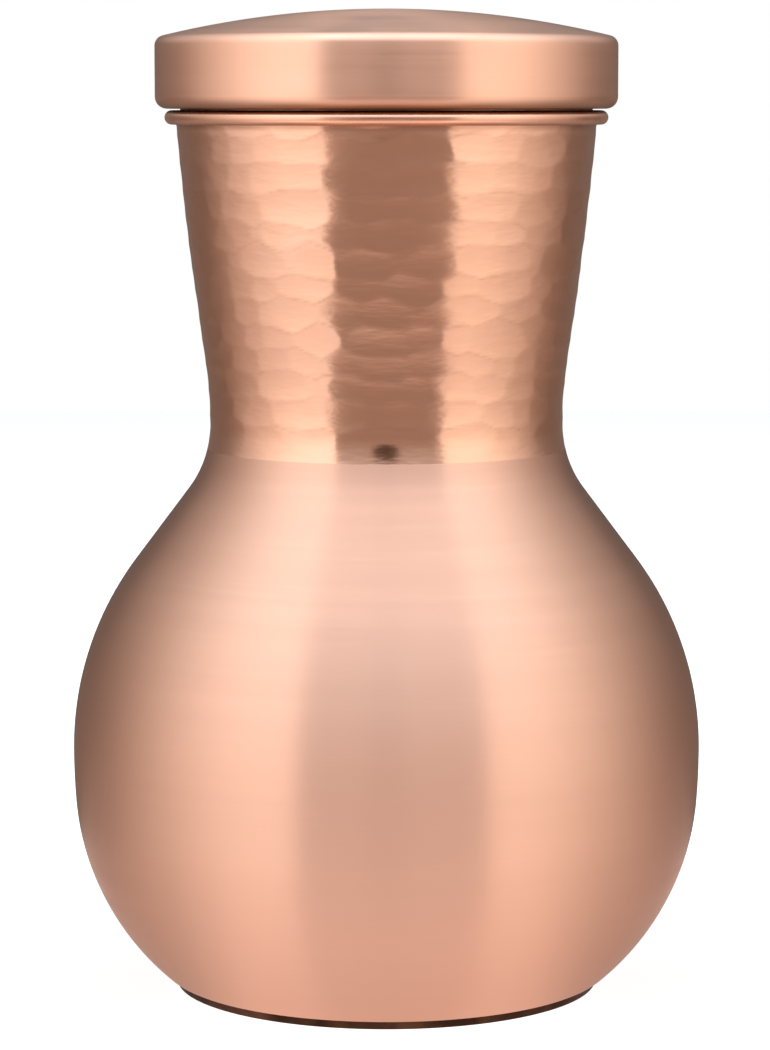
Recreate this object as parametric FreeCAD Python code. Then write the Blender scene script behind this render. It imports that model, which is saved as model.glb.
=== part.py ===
"""Round-bellied copper water jug with a waisted, flared neck and a lift-off lid.

A vessel of spun copper sheet.  Two half bowls are lapped and brazed at the belly, a flared
neck is lapped and brazed at the throat and has its mouth edge rolled over a wire, and a flat
strip ring brazed under the bottom makes the foot.  The lid is a domed cap with a deep skirt,
and a collar brazed inside it plugs into the neck.

Frame: origin at the centre of the foot, on the plane that the jug stands on, +Z up along
the axis.  Every piece is a solid of revolution about Z.  Millimetres and degrees.

A wall is drawn in the half plane of radius and height as a row of bends, with straight runs
between them.  A bend is (centre, radius, start, end).  Its angles are those of the wall's
outward normal above the horizontal, so two bends are tangent where they share an angle.
A hollow bend, whose centre lies outside the wall, has a negative radius.  The inner face of
a wall always has the same bends with the radius less by the thickness.
"""
import FreeCAD, Part
import os
from math import acos, asin, atan2, cos, degrees, hypot, radians, sin, sqrt
from FreeCAD import Vector

# Sheet metal
sheet = 0.7              # thickness of every sheet piece
lap = 3.8                # length of the inner lip at a lapped seam
lap_root = 2.5           # length over which a lip backs its own wall

# Foot and bottom
foot_r = 45.0            # outer radius of the foot ring
foot_height = 1.5
foot_width = 2.6         # width of the strip, measured along the radius
dish_r = 41.0            # radius of the raised middle of the bottom
dish_rise = 2.5

# Belly
belly_r = 66.8           # largest outer radius; above it the wall is a sphere of this radius
belly_z = 51.0           # height of the largest radius, and of the belly seam
side_bend = 146.0        # gentle bend just below the belly
side_sweep = 4.3
bottom_bend = 54.8       # bend from there down to the foot
turn_bend = 5.0          # small bend that turns the wall under to the flat bottom

# Throat and neck
seam_z = 115.0           # height of the throat seam, where the hammered neck starts
throat_r = 37.4          # smallest outer radius
throat_z = 120.0
throat_bend = 22.7       # hollow bend below the throat
flare_bend = 100.0       # hollow bend above the throat
flare = 8.6              # outward lean of the neck wall where that bend ends
neck_bow = 730.0         # radius of the slight outward bow of the neck wall
wire_z = 184.6           # height of the rim wire's centre
wire_r = 0.8
curl = 290.0             # angle through which the mouth edge is rolled over the wire

# Lid
skirt_r = 48.6           # outer radius of the lid
dome_top = 207.2
dome_bend = 200.0
corner_bend = 2.2        # rounded corner between dome and skirt
hem_bend = 2.5           # inward roll of the skirt's lower edge
hem_sweep = 110.0
rim_gap = 0.3            # between the rolled hem and the rolled rim
collar_z = 172.0         # lower edge of the collar
collar_gap = 0.4         # between the collar and the inside of the neck
collar_bend = 1.2        # turned-in lower edge of the collar
collar_sweep = 60.0
mouth_bend = 20.0        # bend from the collar's taper to its straight upper part

# Brazing metal
fillet = 1.1             # leg of the fillet in a corner between two pieces


def point(r, z):
    return Vector(r, 0, z)


def on_bend(centre, radius, angle):
    return centre + point(radius * cos(radians(angle)), radius * sin(radians(angle)))


def arc(centre, radius, start, end):
    angles = (start, (start + end) / 2, end)
    return Part.Arc(*[on_bend(centre, radius, angle) for angle in angles]).toShape()


def straight(start, end):
    return Part.LineSegment(start, end).toShape()


def outline(*edges):
    """Closed face through the edges in turn, with straight runs between them."""
    joined, last = [], edges[-1].lastVertex().Point
    for edge in edges:
        first = edge.firstVertex().Point
        if last.distanceToPoint(first) > 1e-6:
            joined.append(straight(last, first))
        joined.append(edge)
        last = edge.lastVertex().Point
    return Part.Face(Part.Wire(joined))


def spin(face):
    solid = face.revolve(Vector(0, 0, 0), Vector(0, 0, 1), 360)
    return solid if solid.Volume > 0 else solid.reversed()


def outer_face(bends):
    return [arc(*bend) for bend in bends]


def inner_face(bends):
    """The inner face's edges, from the last bend back to the first."""
    return [arc(centre, radius - sheet, end, start)
            for centre, radius, start, end in reversed(bends)]


def spun_sheet(bends):
    return spin(outline(*outer_face(bends), *inner_face(bends)))


def lapped_sheet(bends, next_centre, next_radius):
    """Spun sheet whose last edge carries a lip that lies inside the next wall's first bend."""
    centre, radius, start, seam = bends[-1]
    touching = next_radius - sheet
    tip = seam + degrees(lap / touching)
    root = seam - degrees(lap_root / touching)
    own_root = seam - degrees(lap_root / (radius - sheet))
    lip = [arc(next_centre, touching, seam, tip), arc(next_centre, touching - sheet, tip, root)]
    backed = bends[:-1] + [(centre, radius, start, own_root)]
    return spin(outline(*outer_face(bends), *lip, *inner_face(backed)))


def braze(wall_leg, leg_end):
    """Ring of brazing metal in a corner: one leg along a wall, one straight to leg_end."""
    corner = wall_leg.firstVertex().Point
    return spin(outline(wall_leg, straight(leg_end, corner)))


# Centres and angles of the lower wall
belly_centre = point(0, belly_z)
side_centre = point(belly_r - side_bend, belly_z)
bottom_centre = on_bend(side_centre, side_bend - bottom_bend, -side_sweep)
turn_depth = bottom_centre.z - foot_height - turn_bend
turn_angle = degrees(asin(turn_depth / (bottom_bend - turn_bend)))
turn_centre = on_bend(bottom_centre, bottom_bend - turn_bend, -turn_angle)
dish_bend = (dish_r ** 2 + dish_rise ** 2) / (2 * dish_rise)
dish_angle = degrees(asin(dish_r / dish_bend))
dish_centre = point(0, foot_height + dish_rise - dish_bend)

# Shoulder: the sphere and the hollow throat bend, joined by their common tangent
throat_centre = point(throat_r + throat_bend, throat_z)
centres_apart = hypot(throat_centre.x, throat_z - belly_z)
centres_angle = degrees(atan2(throat_z - belly_z, throat_centre.x))
shoulder_angle = centres_angle - degrees(acos((belly_r + throat_bend) / centres_apart))
seam_angle = degrees(asin((throat_z - seam_z) / throat_bend))

# Neck wall, from the throat to the rolled rim
flare_centre = point(throat_r + flare_bend, throat_z)
flare_end = on_bend(flare_centre, -flare_bend, -flare)
bow_centre = on_bend(flare_end, -neck_bow, -flare)
rim_lean = degrees(asin((bow_centre.z - wire_z) / (neck_bow + wire_r)))
wire_centre = on_bend(bow_centre, neck_bow + wire_r, -rim_lean)
rim_top = wire_z + wire_r + sheet

# Lid
dome_centre = point(0, dome_top - dome_bend)
corner_r = skirt_r - corner_bend
corner_angle = degrees(acos(corner_r / (dome_bend - corner_bend)))
corner_centre = on_bend(dome_centre, dome_bend - corner_bend, corner_angle)
hem_centre = point(skirt_r - hem_bend, rim_top + rim_gap + hem_bend)


def neck_inside(z):
    """Inner radius of the neck at a height on its bowed part."""
    return bow_centre.x + sqrt((neck_bow - sheet) ** 2 - (bow_centre.z - z) ** 2)


# Collar: it follows the neck's taper up to the rim, and is straight above
collar_r = neck_inside(rim_top) - collar_gap
collar_foot_r = neck_inside(collar_z) - collar_gap
collar_lean = degrees(atan2(collar_r - collar_foot_r, rim_top - collar_z))


def make_lower_bowl():
    bends = [(dish_centre, -dish_bend, -90, -90 - dish_angle),
             (turn_centre, turn_bend, -90, -turn_angle),
             (bottom_centre, bottom_bend, -turn_angle, -side_sweep),
             (side_centre, side_bend, -side_sweep, 0)]
    return lapped_sheet(bends, belly_centre, belly_r)


def make_upper_bowl():
    bends = [(belly_centre, belly_r, 0, shoulder_angle),
             (throat_centre, -throat_bend, shoulder_angle, seam_angle)]
    return lapped_sheet(bends, throat_centre, -throat_bend)


def make_neck():
    return spun_sheet([(throat_centre, -throat_bend, seam_angle, 0),
                       (flare_centre, -flare_bend, 0, -flare),
                       (bow_centre, neck_bow, -flare, -rim_lean),
                       (wire_centre, -wire_r, -rim_lean, -curl)])


def make_foot_ring():
    disc = Part.makeCylinder(foot_r, foot_height)
    return disc.cut(Part.makeCylinder(foot_r - foot_width, foot_height))


def make_lid_cap():
    return spun_sheet([(dome_centre, dome_bend, 90, corner_angle),
                       (corner_centre, corner_bend, corner_angle, 0),
                       (hem_centre, hem_bend, 0, -hem_sweep)])


def make_lid_collar():
    """Collar with a turned-in lower edge; its top edge is cut to the underside of the dome."""
    edge_centre = point(collar_foot_r - collar_bend, collar_z + collar_bend)
    mouth_centre = point(collar_r - mouth_bend, rim_top)
    bends = [(edge_centre, collar_bend, -collar_sweep, -collar_lean),
             (mouth_centre, mouth_bend, -collar_lean, 0)]
    under = dome_bend - sheet
    outside, inside = [degrees(acos(r / under)) for r in (collar_r, collar_r - sheet)]
    top = arc(dome_centre, under, outside, inside)
    return spin(outline(*outer_face(bends), top, *inner_face(bends)))


def make_belly_seam_braze():
    """Past the lip's end. The leg on the wall is the chord of its slight curve."""
    inside = belly_r - sheet
    tip = degrees(lap / inside)
    wall_end = on_bend(belly_centre, inside, tip + degrees(fillet / inside))
    wall_leg = straight(on_bend(belly_centre, inside, tip), wall_end)
    return braze(wall_leg, on_bend(belly_centre, inside - sheet, tip))


def make_throat_seam_braze():
    """Past the lip's end, against the neck's hollow bend."""
    inside = -throat_bend - sheet
    tip = seam_angle + degrees(lap / inside)
    wall_leg = arc(throat_centre, inside, tip, tip + degrees(fillet / inside))
    return braze(wall_leg, on_bend(throat_centre, inside - sheet, tip))


def make_foot_braze():
    corner = point(foot_r - foot_width, foot_height)
    return braze(straight(corner, corner - point(fillet, 0)), corner - point(0, fillet))


def make_lid_collar_braze():
    """Between collar and dome. The leg on the dome is the chord of its slight curve."""
    under = dome_bend - sheet
    start = degrees(acos((collar_r - sheet) / under))
    corner = on_bend(dome_centre, under, start)
    dome_leg = straight(corner, on_bend(dome_centre, under, start + degrees(fillet / under)))
    return braze(dome_leg, corner - point(0, fillet))


def make_parts():
    return {
        "lower_bowl": make_lower_bowl(),
        "upper_bowl": make_upper_bowl(),
        "neck": make_neck(),
        "rim_wire": Part.makeTorus(wire_centre.x, wire_r, point(0, wire_z)),
        "foot_ring": make_foot_ring(),
        "belly_seam_braze": make_belly_seam_braze(),
        "throat_seam_braze": make_throat_seam_braze(),
        "foot_braze": make_foot_braze(),
        "lid_cap": make_lid_cap(),
        "lid_collar": make_lid_collar(),
        "lid_collar_braze": make_lid_collar_braze(),
    }


def main():
    os.makedirs("parts", exist_ok=True)
    for name, shape in make_parts().items():
        shape.exportStep(f"parts/{name}.step")
        print(f"{name:18s} solids {len(shape.Solids)}, valid {shape.isValid()},"
              f" volume {shape.Volume:8.1f} mm3")


main()
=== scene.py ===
"""Looks of the copper water jug: fine lathed walls, a hammered neck, brushed and polished copper.

Metres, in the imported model's own frame: +Z up, the foot's centre at the origin.  Outlines are
drawn in millimetres and degrees, as in the solid model, and lathe() turns them into metres.
"""
from math import acos, asin, atan2, cos, degrees, dist, hypot, pi, radians, sin

import bpy
import numpy as np
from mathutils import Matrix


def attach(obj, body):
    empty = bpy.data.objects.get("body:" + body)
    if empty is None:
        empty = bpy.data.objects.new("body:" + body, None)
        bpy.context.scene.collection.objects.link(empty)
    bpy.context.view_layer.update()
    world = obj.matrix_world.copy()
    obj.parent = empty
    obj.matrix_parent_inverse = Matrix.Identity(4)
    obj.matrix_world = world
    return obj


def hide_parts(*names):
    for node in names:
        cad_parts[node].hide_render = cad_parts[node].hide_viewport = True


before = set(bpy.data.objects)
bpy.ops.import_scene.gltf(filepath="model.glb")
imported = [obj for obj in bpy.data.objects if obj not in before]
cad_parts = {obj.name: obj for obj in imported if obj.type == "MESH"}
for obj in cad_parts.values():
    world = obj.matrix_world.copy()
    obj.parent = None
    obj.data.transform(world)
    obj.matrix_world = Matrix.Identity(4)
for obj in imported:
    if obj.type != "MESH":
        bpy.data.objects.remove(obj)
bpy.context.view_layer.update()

MM = 0.001

# Sheet metal and outline, in millimetres: the same driving dimensions as the solid model
sheet = 0.7
lap = 3.8
lap_root = 2.5
foot_height = 1.5
dish_r, dish_rise = 41.0, 2.5
belly_r, belly_z = 66.8, 51.0
side_bend, side_sweep = 146.0, 4.3
bottom_bend, turn_bend = 54.8, 5.0
seam_z = 115.0
throat_r, throat_z, throat_bend = 37.4, 120.0, 22.7
flare_bend, flare = 100.0, 8.6
neck_bow = 730.0
wire_z, wire_r, curl = 184.6, 0.8, 290.0
skirt_r = 48.6
dome_top, dome_bend = 207.2, 200.0
corner_bend, hem_bend, hem_sweep = 2.2, 2.5, 110.0
rim_gap = 0.3

# Fineness of the meshes: points round the axis, and millimetres between points of an outline
segments, neck_segments = 256, 480
bowl_step, bowl_inside_step, lip_step = 1.4, 2.5, 1.0
neck_step, neck_inside_step, roll_inside_step = 0.5, 5.0, 0.35
lid_step, lid_inside_step = 1.2, 2.0
widest_turn = 12         # most degrees between two points of a bend
same_place = 1e-6        # two points of an outline nearer than this are one
sharp_angle = 40         # an edge that turns more than this is shaded sharp

# Hammer marks on the neck, in rows round it: lengths in millimetres, tilts as slopes
first_row, last_row = seam_z - 1.0, wire_z + 2.0
row_pitch, pitch_range = 5.3, (0.84, 1.16)
mark_width, width_range = 6.5, (0.85, 1.15)
mark_depth, depth_spread = 0.09, 0.004
place_spread = 0.22      # millimetres up or down, and this part of a mark along its row
round_bends = (90, 160)  # radius of a mark's hollow round the neck
up_bends = (34, 50)      # and up the neck
round_tilt_spread, up_tilt_spread = 0.018, 0.007
neck_slope = 0.11        # how fast the neck widens with height
softness = 0.010         # of the crests where marks meet
deepest = 0.3            # a mark counts no deeper than this
reach_up, reach_round = 9, 30
marks_top = wire_z - wire_r - 0.4
fade_in, fade_out = 6.0, 1.0     # heights over which the marks start and end
crest_power = 0.4        # below 1, it widens the crests, which are painted darker as a painted reflection

# The room that the jug reflects: a pale floor, dim warm walls and a cool ceiling.  A blend or a
# span is a pair of angles in degrees, between which its light comes in or goes out.
floor_light, floor_blend = (1.15, 0.98, 0.93), (11, 57)
wall_light = (0.35, 0.265, 0.22)
ceiling_light, ceiling_blend = (1.0, 1.1, 1.15), (-10, 65)

# Where the room is dimmer: high at the back, level at the back, and low at the sides and back
back_dim, back_turn, back_rise = 0.6, (125, 165), (-5, 15)
horizon_dim, horizon_turn, horizon_rise = 0.45, (98, 132), (5, 20)
low_dim, low_turn, low_rise = 0.4, (55, 115), (-35, -8)

# Two soft boxes at the sides, from a sharp front edge to a slow fade at the back, weaker low
# down and gone overhead
left_start, left_color = 32.0, (1.0, 1.0, 0.96)
right_start, right_color = 36.5, (0.92, 0.89, 0.80)
box_edge = 1.5           # half the width of the front edge
box_fade = (50.0, 122.0)
box_low, box_low_rise = 0.35, (-40, 5)
box_top_rise = (10, 50)

# Soft light from above, weaker towards the back except overhead
top_color = (0.74, 0.88, 1.05)
top_rise, top_turn, overhead = (18, 40), (62, 127), (50, 90)

# Floor and dome, in metres
floor_color, floor_glow = (0.74, 0.8, 0.82), 0.63
floor_radius = 1.45
ring_from, ring_to = 0.03, 0.17          # the ring of floor that the jug reflects
shade_blend, darkest_shade = (0.04, 0.12), 0.75
side_blend = (0.55, 1.0)                 # cosine of the angle from straight left or right
dome_radius, dome_height = 1.5, 0.1

# Camera, in metres, with its lens and sensor in millimetres and its tilt in degrees
camera_x, camera_distance, camera_height = -0.0003, 0.7706, 0.188
camera_down = 6.64
camera_lens, camera_sensor = 124.87, 36.0
body_color = (0.06, 0.03, 0.015)
body_radius, body_rise = 0.1, 0.065      # a disc whose centre is above the lens


# ---------------------------------------------------------------- outlines

def on_bend(centre, radius, angle):
    return (centre[0] + radius * cos(radians(angle)), centre[1] + radius * sin(radians(angle)))


belly_centre = (0.0, belly_z)
side_centre = (belly_r - side_bend, belly_z)
bottom_centre = on_bend(side_centre, side_bend - bottom_bend, -side_sweep)
turn_depth = bottom_centre[1] - foot_height - turn_bend
turn_angle = degrees(asin(turn_depth / (bottom_bend - turn_bend)))
turn_centre = on_bend(bottom_centre, bottom_bend - turn_bend, -turn_angle)
dish_bend = (dish_r ** 2 + dish_rise ** 2) / (2 * dish_rise)
dish_angle = degrees(asin(dish_r / dish_bend))
dish_centre = (0.0, foot_height + dish_rise - dish_bend)

throat_centre = (throat_r + throat_bend, throat_z)
centres_apart = hypot(throat_centre[0], throat_z - belly_z)
centres_angle = degrees(atan2(throat_z - belly_z, throat_centre[0]))
shoulder_angle = centres_angle - degrees(acos((belly_r + throat_bend) / centres_apart))
seam_angle = degrees(asin((throat_z - seam_z) / throat_bend))

flare_centre = (throat_r + flare_bend, throat_z)
bow_centre = on_bend(on_bend(flare_centre, -flare_bend, -flare), -neck_bow, -flare)
rim_lean = degrees(asin((bow_centre[1] - wire_z) / (neck_bow + wire_r)))
wire_centre = on_bend(bow_centre, neck_bow + wire_r, -rim_lean)
rim_top = wire_z + wire_r + sheet

dome_centre = (0.0, dome_top - dome_bend)
corner_angle = degrees(acos((skirt_r - corner_bend) / (dome_bend - corner_bend)))
corner_centre = on_bend(dome_centre, dome_bend - corner_bend, corner_angle)
hem_bottom = rim_top + rim_gap
hem_centre = (skirt_r - hem_bend, hem_bottom + hem_bend)


def arc_points(centre, radius, start, end, step):
    length = abs(radians(end - start) * radius)
    count = max(2, int(round(length / step)) + 1, int(abs(end - start) / widest_turn) + 2)
    return [on_bend(centre, radius, start + (end - start) * i / (count - 1)) for i in range(count)]


def spaced(points, step):
    """The same outline with extra points along its straight runs."""
    out = [points[0]]
    for a, b in zip(points, points[1:]):
        run = dist(a, b)
        if run < same_place:
            continue
        n = max(1, int(run / step))
        for i in range(1, n + 1):
            out.append((a[0] + (b[0] - a[0]) * i / n, a[1] + (b[1] - a[1]) * i / n))
    return out


def face_points(bends, step):
    """Points along a row of bends, a little further apart on the straight runs between them."""
    points = []
    for bend in bends:
        points += arc_points(*bend, step)
    return spaced(points, step * 1.2)


def inner(bends):
    return [(c, r - sheet, end, start) for c, r, start, end in reversed(bends)]


# ---------------------------------------------------------------- meshes

def smooth(value, start, end):
    t = np.clip((value - start) / (end - start), 0, 1)
    return t * t * (3 - 2 * t)


def joined(runs):
    """One closed section from its runs, without doubled points: points and material numbers."""
    points, materials = [], []
    for run, material in runs:
        for point in run:
            if not points or dist(point, points[-1]) >= same_place:
                points.append(point)
                materials.append(material)
    if dist(points[0], points[-1]) < same_place:
        points.pop()
        materials.pop()
    return points, materials


def turned_faces(number, on_axis):
    """Faces between the rows of a section turned round the axis, each with its row. number
    holds each point's vertex, and a row on the axis has one vertex all round."""
    rows, rounds = len(number), len(number[0])
    for i in range(rows - 1 if any(on_axis) else rows):
        j = (i + 1) % rows
        if on_axis[i] and on_axis[j]:
            continue
        for k in range(rounds):
            after = (k + 1) % rounds
            corners = (number[i][k], number[j][k], number[j][after], number[i][after])
            yield list(dict.fromkeys(corners)), i


def signed_volume(mesh):
    mesh.calc_loop_triangles()
    places = np.empty(len(mesh.vertices) * 3)
    mesh.vertices.foreach_get("co", places)
    triangles = np.empty(len(mesh.loop_triangles) * 3, np.int32)
    mesh.loop_triangles.foreach_get("vertices", triangles)
    p = places.reshape(-1, 3)[triangles.reshape(-1, 3)]
    return float(np.einsum("ij,ij->i", p[:, 0], np.cross(p[:, 1], p[:, 2])).sum() / 6)


def lathe(name, runs, rounds, materials, shape=None):
    """Closed mesh of revolution. runs is a list of (outline points, material number) in order
    round the section. shape gets arrays of radius, height and angle and the material numbers,
    and returns the finished radii and a "crest" value at each point for the material to read."""
    section, index = joined(runs)
    r, z = [np.array(line)[:, None].repeat(rounds, 1) for line in zip(*section)]
    a = np.linspace(0, 2 * pi, rounds, endpoint=False)[None, :].repeat(len(section), 0)
    crest = None
    if shape is not None:
        r, crest = shape(r, z, a, np.array(index))
    xyz = np.stack([r * np.sin(a), -r * np.cos(a), z], -1) * MM
    on_axis = r[:, 0] < same_place
    keep = np.ones(r.shape, bool)
    keep[on_axis, 1:] = False
    number = (np.cumsum(keep) - 1).reshape(r.shape)
    number[on_axis] = number[on_axis, :1]
    faces, rows = zip(*turned_faces(number.tolist(), on_axis.tolist()))

    mesh = bpy.data.meshes.new(name)
    mesh.from_pydata(xyz[keep].tolist(), [], faces)
    mesh.polygons.foreach_set("material_index", [index[row] for row in rows])
    if crest is not None:
        mesh.attributes.new("crest", "FLOAT", "POINT").data.foreach_set("value", crest[keep])
    for material in materials:
        mesh.materials.append(material)
    mesh.validate()
    mesh.shade_smooth()
    mesh.set_sharp_from_angle(angle=radians(sharp_angle))
    if signed_volume(mesh) < 0:
        mesh.flip_normals()
    obj = bpy.data.objects.new(name, mesh)
    bpy.context.scene.collection.objects.link(obj)
    return obj


# ---------------------------------------------------------------- materials

class Metal:
    """Small helper round one metal's node tree."""

    def __init__(self, name):
        self.material = bpy.data.materials.new(name)
        self.material.use_nodes = True
        self.tree = self.material.node_tree
        self.tree.nodes.clear()
        self.bsdf = self.node("ShaderNodeBsdfPrincipled")
        self.bsdf.inputs["Metallic"].default_value = 1.0
        self.set(self.node("ShaderNodeOutputMaterial").inputs[0], self.bsdf.outputs[0])
        self.place = self.node("ShaderNodeTexCoord").outputs["Object"]
        apart = self.node("ShaderNodeSeparateXYZ")
        self.set(apart.inputs[0], self.place)
        self.x, self.y, self.z = apart.outputs

    def node(self, kind, **settings):
        node = self.tree.nodes.new(kind)
        for key, value in settings.items():
            setattr(node, key, value)
        return node

    def set(self, socket, value):
        if isinstance(value, bpy.types.NodeSocket):
            self.tree.links.new(value, socket)
        else:
            socket.default_value = value

    def math(self, operation, a, b=0.0):
        node = self.node("ShaderNodeMath", operation=operation)
        self.set(node.inputs[0], a)
        self.set(node.inputs[1], b)
        return node.outputs[0]

    def noise(self, scale, detail=2.0, roughness=0.5, distortion=0.0):
        node = self.node("ShaderNodeTexNoise")
        self.set(node.inputs["Vector"], self.place)
        self.set(node.inputs["Scale"], scale)
        self.set(node.inputs["Detail"], detail)
        self.set(node.inputs["Roughness"], roughness)
        self.set(node.inputs["Distortion"], distortion)
        return node.outputs[0]

    def brushing(self, fineness, length, detail=2.5):
        """Fine lines round the axis, from noise over radius and height that is long round it."""
        square = self.math("ADD", self.math("MULTIPLY", self.x, self.x),
                           self.math("MULTIPLY", self.y, self.y))
        stretched = self.node("ShaderNodeCombineXYZ")
        radius = self.math("SQRT", square)
        self.set(stretched.inputs[0], self.math("MULTIPLY", radius, 1 / fineness))
        self.set(stretched.inputs[1], self.math("MULTIPLY", self.z, 1 / fineness))
        self.set(stretched.inputs[2], self.math("MULTIPLY", self.x, 1 / length))
        node = self.node("ShaderNodeTexNoise", noise_dimensions="4D")
        self.set(node.inputs["Vector"], stretched.outputs[0])
        self.set(node.inputs["W"], self.math("MULTIPLY", self.y, 1 / length))
        self.set(node.inputs["Scale"], 1.0)
        self.set(node.inputs["Detail"], detail)
        return node.outputs[0]

    def height(self, low, high):
        """0 below one height and 1 above another, in millimetres."""
        return self.ranged(self.z, 0.0, 1.0, start=low * MM, end=high * MM)

    def ranged(self, value, low, high, start=0.3, end=0.7):
        """low where value is at start, high where it is at end."""
        node = self.node("ShaderNodeMapRange")
        self.set(node.inputs["Value"], value)
        self.set(node.inputs["From Min"], start)
        self.set(node.inputs["From Max"], end)
        self.set(node.inputs["To Min"], low)
        self.set(node.inputs["To Max"], high)
        return node.outputs[0]

    def mixed(self, factor, a, b):
        node = self.node("ShaderNodeMix", data_type="RGBA")
        self.set(node.inputs["Factor"], factor)
        self.set(node.inputs["A"], a if isinstance(a, bpy.types.NodeSocket) else (*a, 1))
        self.set(node.inputs["B"], b if isinstance(b, bpy.types.NodeSocket) else (*b, 1))
        return node.outputs["Result"]

    def color(self, value):
        self.set(self.bsdf.inputs["Base Color"], value)

    def roughness(self, value):
        self.set(self.bsdf.inputs["Roughness"], value)

    def bump(self, height, distance):
        node = self.node("ShaderNodeBump")
        self.set(node.inputs["Height"], height)
        self.set(node.inputs["Distance"], distance)
        self.set(node.inputs["Strength"], 1.0)
        self.set(self.bsdf.inputs["Normal"], node.outputs[0])

    def spun(self, anisotropic):
        """Stretch the gloss across the lines that run round the axis."""
        quarter_turn = 0.25
        self.set(self.bsdf.inputs["Anisotropic"], anisotropic)
        self.set(self.bsdf.inputs["Anisotropic Rotation"], quarter_turn)
        tangent = self.node("ShaderNodeTangent", direction_type="RADIAL", axis="Z")
        self.set(self.bsdf.inputs["Tangent"], tangent.outputs[0])


bright_copper = (0.93, 0.555, 0.41)
warm_copper = (0.93, 0.52, 0.37)
deep_copper = (0.84, 0.44, 0.31)
# dull copper for the real dull inside and braze stains, and for painted shade and painted
# reflection on the neck
dull_and_shade_copper = (0.62, 0.33, 0.23)
# brown for real water marks inside, and for painted shade at the lid's hem and round the rolled
# rim
stain_and_shade_copper = (0.38, 0.20, 0.12)
dark_brown = (0.055, 0.025, 0.016)
brown = (0.16, 0.075, 0.045)
brass = (0.76, 0.56, 0.30)


def make_satin_copper():
    """Copper brushed round and round: fine lines, and a few long shiny and dull streaks."""
    m = Metal("satin_copper")
    m.spun(1.0)
    lines = m.brushing(fineness=0.00035, length=0.03)
    streaks = m.brushing(fineness=0.003, length=0.15, detail=1.0)
    clouds = m.noise(14.0, detail=3.0)
    worn = m.mixed(m.ranged(clouds, 0.0, 0.55), bright_copper, warm_copper)
    m.color(m.mixed(m.ranged(lines, 0.0, 0.09, start=0.62, end=0.40), worn, deep_copper))
    m.roughness(m.math("ADD", m.ranged(streaks, 0.395, 0.415), m.ranged(lines, -0.016, 0.016)))
    m.bump(lines, 0.000004)
    return m.material


def make_hammered_copper():
    """Bright planished copper, rippled, with rougher crests painted darker as a painted
    reflection, and painted shade in a dull band under the rolled rim.
    """
    m = Metal("hammered_copper")
    haze = m.noise(60.0, detail=4.0)
    ripples = m.brushing(fineness=0.0014, length=0.005)
    scuffs = m.noise(170.0, detail=3.0)
    crest = m.node("ShaderNodeAttribute", attribute_name="crest").outputs["Fac"]
    worn = m.mixed(m.ranged(haze, 0.0, 0.7), bright_copper, warm_copper)
    # painted reflection: the crests between rows of marks are painted darker, patchy with scuffs,
    # for the darker light their ridges reflect; their extra roughness is real
    lined = m.mixed(m.math("MULTIPLY", crest, m.ranged(scuffs, 0.1, 0.5)), worn, dull_and_shade_copper)
    # painted shade: a dull brown band just under the rolled rim, where the bead shades the neck
    m.color(m.mixed(m.height(wire_z - 2.8, wire_z - 1.2), lined, dull_and_shade_copper))
    m.roughness(m.math("ADD", m.ranged(haze, 0.13, 0.20), m.math("MULTIPLY", crest, 0.1)))
    m.bump(ripples, 0.00006)
    return m.material


def make_lid_copper():
    """Softly polished copper with faint turning lines, and painted shade in brown at the lower
    edge of the skirt, over the gap above the rim.
    """
    m = Metal("lid_copper")
    m.spun(0.7)
    lines = m.brushing(fineness=0.0004, length=0.08)
    clouds = m.noise(35.0, detail=4.0, distortion=0.6)
    worn = m.mixed(m.ranged(clouds, 0.0, 0.8), bright_copper, warm_copper)
    lined = m.mixed(m.ranged(lines, 0.0, 0.12, start=0.62, end=0.40), worn, deep_copper)
    # painted shade: brown along the skirt's lower edge, for the shade in the gap between lid and
    # rim
    m.color(m.mixed(m.height(hem_bottom + 0.5, hem_bottom + 1.9), stain_and_shade_copper, lined))
    m.roughness(m.math("ADD", m.ranged(clouds, 0.30, 0.39), m.ranged(lines, -0.03, 0.03)))
    m.bump(lines, 0.000008)
    return m.material


def make_rim_copper():
    """Polished rolled rim, with painted shade in brown underneath it and on top, in the gap under
    the lid.
    """
    m = Metal("rim_copper")
    lines = m.brushing(fineness=0.0003, length=0.05)
    clean = m.mixed(m.ranged(lines, 0.0, 0.3), warm_copper, deep_copper)
    # painted shade: brown under the rolled rim, where it shades the neck
    under = m.mixed(m.height(wire_z - 1.4, wire_z - 0.7), stain_and_shade_copper, clean)
    # painted shade: brown on top of the rim, in the gap under the lid
    m.color(m.mixed(m.height(rim_top - 1.0, rim_top - 0.3), under, stain_and_shade_copper))
    m.roughness(m.ranged(m.noise(120.0), 0.22, 0.34))
    m.bump(lines, 0.000006)
    return m.material


def make_bare_copper():
    """Unpolished inside: dull, with turning lines and brown water marks."""
    m = Metal("bare_copper")
    m.spun(0.5)
    lines = m.brushing(fineness=0.0009, length=0.12)
    clouds = m.noise(22.0, detail=5.0, roughness=0.6, distortion=0.8)
    spots = m.noise(140.0, detail=3.0)
    dulled = m.mixed(m.ranged(clouds, 0.0, 1.0, start=0.35, end=0.65), deep_copper, dull_and_shade_copper)
    spotted = m.mixed(m.ranged(spots, 0.0, 0.5, start=0.58, end=0.72), dulled, stain_and_shade_copper)
    m.color(m.mixed(m.ranged(lines, 0.0, 0.3), spotted, dull_and_shade_copper))
    m.roughness(m.math("ADD", m.ranged(clouds, 0.36, 0.5), m.ranged(lines, -0.04, 0.04)))
    m.bump(lines, 0.00003)
    return m.material


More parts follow.
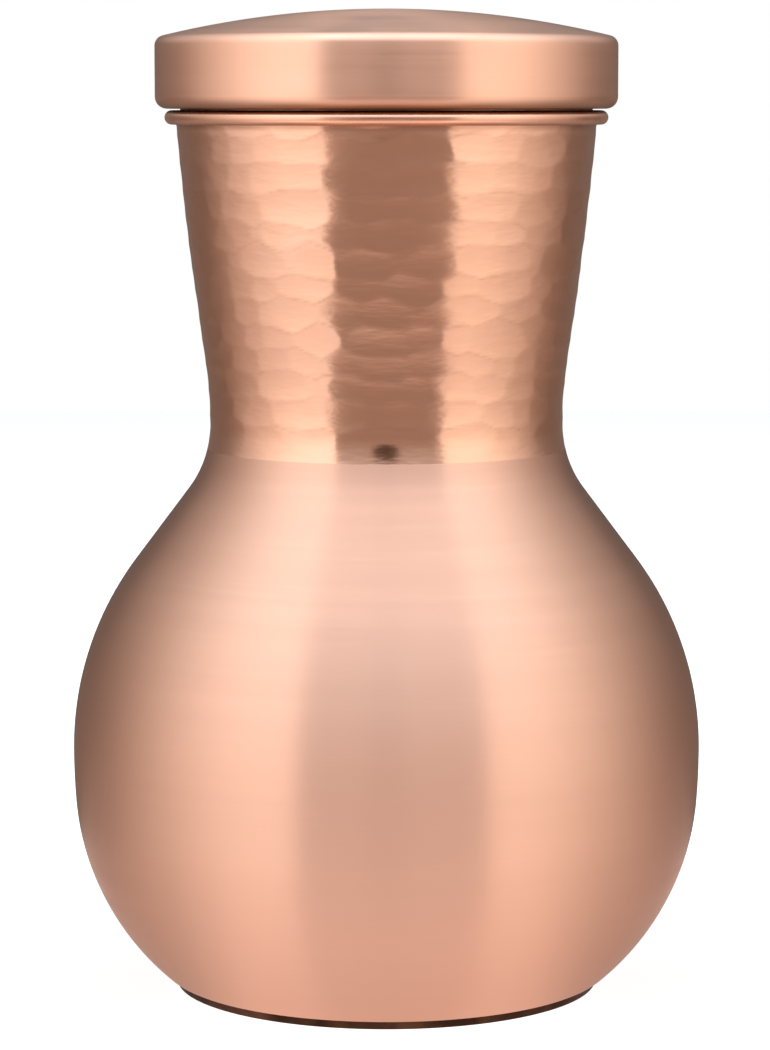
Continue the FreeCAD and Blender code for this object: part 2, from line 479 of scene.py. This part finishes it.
def make_foot_shade_copper():
    """The foot's strip: painted shade, dark brown for the shaded gap under the jug, a little
    brighter in patches.
    """
    m = Metal("darkened_copper")
    patches = m.noise(90.0, detail=4.0)
    # painted shade: the strip is coloured dark brown to stand for the shade under the jug's foot
    m.color(m.mixed(m.ranged(patches, 0.0, 1.0, start=0.4, end=0.75), dark_brown, brown))
    m.roughness(m.ranged(patches, 0.6, 0.42))
    m.bump(m.noise(700.0), 0.00003)
    return m.material


def make_braze_metal():
    """Brass filler, rippled and stained where the flux was."""
    m = Metal("braze_metal")
    stains = m.noise(160.0, detail=4.0)
    m.color(m.mixed(m.ranged(stains, 0.0, 0.8), brass, dull_and_shade_copper))
    m.roughness(m.ranged(stains, 0.3, 0.5))
    m.bump(m.noise(500.0), 0.00008)
    return m.material


satin = make_satin_copper()
hammered = make_hammered_copper()
lid_satin = make_lid_copper()
polished = make_rim_copper()
bare = make_bare_copper()
dark = make_foot_shade_copper()
braze = make_braze_metal()


# ---------------------------------------------------------------- hammered neck

def hammer_rows(seed=7):
    """Marks in rough rows round the neck: height, angle, depth, both bends, both tilts."""
    rng = np.random.default_rng(seed)
    rows = []
    z = first_row
    while z < last_row:
        around = 2 * pi * (throat_r + max(0.0, z - throat_z) * neck_slope)
        count = int(around / (mark_width * rng.uniform(*width_range)))
        turn = rng.uniform(0, 2 * pi)
        row = []
        for k in range(count):
            place = turn + (k + rng.normal(0, place_spread)) * 2 * pi / count
            row.append((z + rng.normal(0, place_spread), place,
                        rng.normal(mark_depth, depth_spread),
                        rng.uniform(*round_bends), rng.uniform(*up_bends),
                        rng.normal(0, round_tilt_spread), rng.normal(0, up_tilt_spread)))
        rows.append(row)
        z += row_pitch * rng.uniform(*pitch_range)
    return rows


def hammer_depth(r, z, a, rows):
    """Depth of the hammered surface under the smooth one, and the strongest row's share of it.
    Each mark is a shallow cup, and where cups meet, a soft maximum of them rounds the crest."""
    above_zero = 1e-9
    total = np.full(r.shape, above_zero)
    strongest = np.zeros_like(r)
    for row in rows:
        push = np.zeros_like(r)
        for mark_z, mark_a, depth, round_bend, up_bend, round_tilt, up_tilt in row:
            dz = z - mark_z
            du = ((a - mark_a + pi) % (2 * pi) - pi) * r
            near = (np.abs(dz) < reach_up) & (np.abs(du) < reach_round)
            u, w = du[near], dz[near]
            hollow = u ** 2 / (2 * round_bend) + w ** 2 / (2 * up_bend)
            cup = depth - hollow + round_tilt * u + up_tilt * w
            push[near] += np.exp(np.minimum(cup, deepest) / softness)
        total += push
        strongest = np.maximum(strongest, push)
    return np.maximum(softness * np.log(total), 0), strongest / total


def hammer(r, z, a, index):
    """Hammered radius, and how much each point belongs to a crest between two rows of marks."""
    outer = (index == 0)[:, None] & (z < marks_top) & (z > seam_z)
    depth, share = hammer_depth(r, z, a, hammer_rows())
    edge = smooth(z, seam_z, seam_z + fade_in) * (1 - smooth(z, marks_top - fade_out, marks_top))
    crest = np.clip(2 * (1 - share), 0, 1) ** crest_power
    return np.where(outer, r - depth * edge, r), np.where(outer, crest * edge, 0)


# ---------------------------------------------------------------- pieces

def make_bowl(name, bends, next_centre, next_radius):
    """Bowl wall whose last edge carries a lip that lies inside the next wall's first bend."""
    centre, radius, start, seam = bends[-1]
    touching = next_radius - sheet
    tip = seam + degrees(lap / touching)
    root = seam - degrees(lap_root / touching)
    own_root = seam - degrees(lap_root / (radius - sheet))
    lip = (arc_points(next_centre, touching, seam, tip, lip_step)
           + arc_points(next_centre, touching - sheet, tip, root, lip_step))
    backed = bends[:-1] + [(centre, radius, start, own_root)]
    runs = [(face_points(bends, bowl_step), 0),
            (lip, 1),
            (face_points(inner(backed), bowl_inside_step), 1)]
    return lathe(name, runs, segments, (satin, bare))


def make_lower_bowl():
    bends = [(dish_centre, -dish_bend, -90, -90 - dish_angle),
             (turn_centre, turn_bend, -90, -turn_angle),
             (bottom_centre, bottom_bend, -turn_angle, -side_sweep),
             (side_centre, side_bend, -side_sweep, 0)]
    return make_bowl("lower_bowl_wall", bends, belly_centre, belly_r)


def make_upper_bowl():
    bends = [(belly_centre, belly_r, 0, shoulder_angle),
             (throat_centre, -throat_bend, shoulder_angle, seam_angle)]
    return make_bowl("upper_bowl_wall", bends, throat_centre, -throat_bend)


def make_neck():
    wall = [(throat_centre, -throat_bend, seam_angle, 0),
            (flare_centre, -flare_bend, 0, -flare),
            (bow_centre, neck_bow, -flare, -rim_lean)]
    roll = arc_points(wire_centre, -wire_r, -rim_lean, -curl, neck_step)
    roll_inside = arc_points(wire_centre, -wire_r - sheet, -curl, -rim_lean, roll_inside_step)
    runs = [(face_points(wall, neck_step), 0),
            (roll, 2),
            (roll_inside, 2),
            (face_points(inner(wall), neck_inside_step), 1)]
    return lathe("neck_wall", runs, neck_segments, (hammered, bare, polished), hammer)


def make_lid():
    bends = [(dome_centre, dome_bend, 90, corner_angle),
             (corner_centre, corner_bend, corner_angle, 0),
             (hem_centre, hem_bend, 0, -hem_sweep)]
    runs = [(face_points(bends, lid_step), 0), (face_points(inner(bends), lid_inside_step), 1)]
    return lathe("lid_shell", runs, segments, (lid_satin, bare))


for piece, node, body, slot in ((make_lower_bowl(), "lower_bowl", "jug", "satin_copper"),
                                (make_upper_bowl(), "upper_bowl", "jug", "satin_copper"),
                                (make_neck(), "neck", "jug", "hammered_copper"),
                                (make_lid(), "lid_cap", "lid", "lid_copper")):
    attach(piece, body)
    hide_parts(node)

# the foot ring takes the dark brown painted shade
for node, material in (("rim_wire", bare), ("foot_ring", dark), ("belly_seam_braze", braze),
                       ("throat_seam_braze", braze), ("foot_braze", braze), ("lid_collar", bare),
                       ("lid_collar_braze", braze)):
    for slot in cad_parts[node].material_slots:
        slot.link = "OBJECT"
        slot.material = material


# ---------------------------------------------------------------- studio

def stage_object(name, points, faces):
    mesh = bpy.data.meshes.new(name)
    mesh.from_pydata(points, [], faces)
    obj = bpy.data.objects.new(name, mesh)
    bpy.context.scene.collection.objects.link(obj)
    material = bpy.data.materials.new(name)
    material.use_nodes = True
    material.node_tree.nodes.clear()
    mesh.materials.append(material)
    return obj, material.node_tree


def circle(radius, count):
    angles = [2 * pi * k / count for k in range(count)]
    return [(radius * cos(angle), radius * sin(angle)) for angle in angles]


def grid(rows, columns):
    """Every row value with every column value, row by row."""
    first, second = np.meshgrid(rows, columns, indexing="ij")
    return first.ravel(), second.ravel()


def ring_faces(rows, rounds):
    """Faces between rows of points that each run once round."""
    faces = []
    for row in range(0, (rows - 1) * rounds, rounds):
        for k in range(rounds):
            after = (k + 1) % rounds
            faces.append((row + k, row + after, row + rounds + after, row + rounds + k))
    return faces


def make_floor(count=96):
    """Pale floor, so bright that only the shade close to the foot shows on it. It is only for the
    camera, and only from above: the jug gets its floor light from the dome and from the ring."""
    corners = [(x, y, 0) for x, y in circle(floor_radius, count)]
    obj, tree = stage_object("floor", corners, [tuple(range(count))])
    add, link = tree.nodes.new, tree.links.new
    diffuse = add("ShaderNodeBsdfDiffuse")
    diffuse.inputs[0].default_value = (*floor_color, 1)
    glow = add("ShaderNodeEmission")
    glow.inputs[1].default_value = floor_glow
    both = add("ShaderNodeAddShader")
    link(diffuse.outputs[0], both.inputs[0])
    link(glow.outputs[0], both.inputs[1])
    pick = add("ShaderNodeMixShader")
    link(add("ShaderNodeNewGeometry").outputs["Backfacing"], pick.inputs[0])
    link(both.outputs[0], pick.inputs[1])
    link(add("ShaderNodeBsdfTransparent").outputs[0], pick.inputs[2])
    link(pick.outputs[0], add("ShaderNodeOutputMaterial").inputs[0])
    obj.visible_glossy = False
    obj.visible_diffuse = False
    obj.visible_shadow = False


def side_box(turn, elevation, start):
    """Strength of a side's soft box; turn is the azimuth towards that side."""
    across = smooth(turn, start - box_edge, start + box_edge) * (1 - smooth(turn, *box_fade))
    upward = box_low + (1 - box_low) * smooth(elevation, *box_low_rise)
    return across * upward * (1 - smooth(elevation, *box_top_rise))


def studio_light(azimuth, elevation):
    """Light that reaches the jug from a direction; azimuth 0 is the camera's side."""
    aside = np.abs(azimuth)
    wall, floor, ceiling = np.array(wall_light), np.array(floor_light), np.array(ceiling_light)
    down = smooth(-elevation, *floor_blend)[:, None]
    up = smooth(elevation, *ceiling_blend)[:, None]
    room = wall + (floor - wall) * down + (ceiling - wall) * up
    back = smooth(aside, *back_turn) * smooth(elevation, *back_rise)
    horizon = smooth(aside, *horizon_turn) * (1 - smooth(np.abs(elevation), *horizon_rise))
    low = smooth(aside, *low_turn) * (1 - smooth(elevation, *low_rise))
    dimmed = (1 - back_dim * back) * (1 - horizon_dim * horizon) * (1 - low_dim * low)
    left = side_box(-azimuth, elevation, left_start)
    right = side_box(azimuth, elevation, right_start)
    behind = smooth(aside, *top_turn) * (1 - smooth(elevation, *overhead))
    top = smooth(elevation, *top_rise) * (1 - behind)
    return (room * dimmed[:, None] + left[:, None] * np.array(left_color)
            + right[:, None] * np.array(right_color) + top[:, None] * np.array(top_color))


def glow_from_attribute(obj, tree, colors):
    """Give each point its own light, and keep the object out of the camera's own view."""
    glow = obj.data.color_attributes.new("glow", "FLOAT_COLOR", "POINT")
    glow.data.foreach_set("color", np.column_stack([colors, np.ones(len(colors))]).ravel())
    read = tree.nodes.new("ShaderNodeAttribute")
    read.attribute_name = "glow"
    emission = tree.nodes.new("ShaderNodeEmission")
    tree.links.new(read.outputs["Color"], emission.inputs[0])
    tree.links.new(emission.outputs[0], tree.nodes.new("ShaderNodeOutputMaterial").inputs[0])
    obj.data.materials[0].cycles.emission_sampling = "NONE"
    obj.visible_camera = False
    obj.visible_shadow = False


def make_studio_dome(rounds=360, rows=121):
    """Sphere of soft light all round the jug, seen only in its reflections and shade."""
    elevation, azimuth = grid(np.linspace(-90, 90, rows),
                              np.linspace(-180, 180, rounds, endpoint=False))
    e, a = np.radians(elevation), np.radians(azimuth)
    points = np.stack([np.sin(a) * np.cos(e), -np.cos(a) * np.cos(e), np.sin(e)], -1) * dome_radius
    points[:, 2] += dome_height
    obj, tree = stage_object("studio_dome", points.tolist(), ring_faces(rows, rounds))
    glow_from_attribute(obj, tree, studio_light(azimuth, elevation))


def make_floor_in_reflections(rounds=64, rings=12):
    """The floor round the foot as the jug's underside reflects it, shaded by the jug and dimmer
    at the sides, like the low part of the dome."""
    radius, angle = grid(np.linspace(ring_from, ring_to, rings),
                         np.linspace(0, 2 * pi, rounds, endpoint=False))
    points = np.stack([radius * np.cos(angle), radius * np.sin(angle), radius * 0], -1)
    obj, tree = stage_object("floor_in_reflections", points.tolist(), ring_faces(rings, rounds))
    shade = darkest_shade + (1 - darkest_shade) * smooth(radius, *shade_blend)
    shade = shade * (1 - low_dim * smooth(np.abs(np.cos(angle)), *side_blend))
    glow_from_attribute(obj, tree, shade[:, None] * np.array(floor_light))


def make_camera_in_reflections(count=48):
    """Camera and photographer as the jug sees them: a brown disc that only reflections show."""
    rim = [(x, 0, z) for x, z in circle(body_radius, count)]
    obj, tree = stage_object("camera_body", rim, [tuple(range(count))])
    obj.location = (camera_x, -camera_distance, camera_height + body_rise)
    glow_from_attribute(obj, tree, np.tile(body_color, (count, 1)))
    obj.visible_diffuse = False


def make_world():
    """Plain white behind the floor."""
    world = bpy.data.worlds.new("studio")
    bpy.context.scene.world = world
    world.use_nodes = True
    world.node_tree.nodes["Background"].inputs[0].default_value = (1, 1, 1, 1)
    world.node_tree.nodes["Background"].inputs[1].default_value = 1.0


def make_camera():
    """Camera in front of the jug and above its middle, looking a little down."""
    camera = bpy.data.objects.new("camera", bpy.data.cameras.new("camera"))
    camera.data.sensor_width = camera_sensor
    camera.data.lens = camera_lens
    camera.data.clip_start = 0.01
    camera.location = (camera_x, -camera_distance, camera_height)
    camera.rotation_euler = (radians(90 - camera_down), 0, 0)
    bpy.context.scene.collection.objects.link(camera)
    bpy.context.scene.camera = camera


make_floor()
make_studio_dome()
make_floor_in_reflections()
make_camera_in_reflections()
make_world()
make_camera()
bpy.context.scene.view_settings.view_transform = "Standard"
bpy.context.scene.view_settings.look = "None"
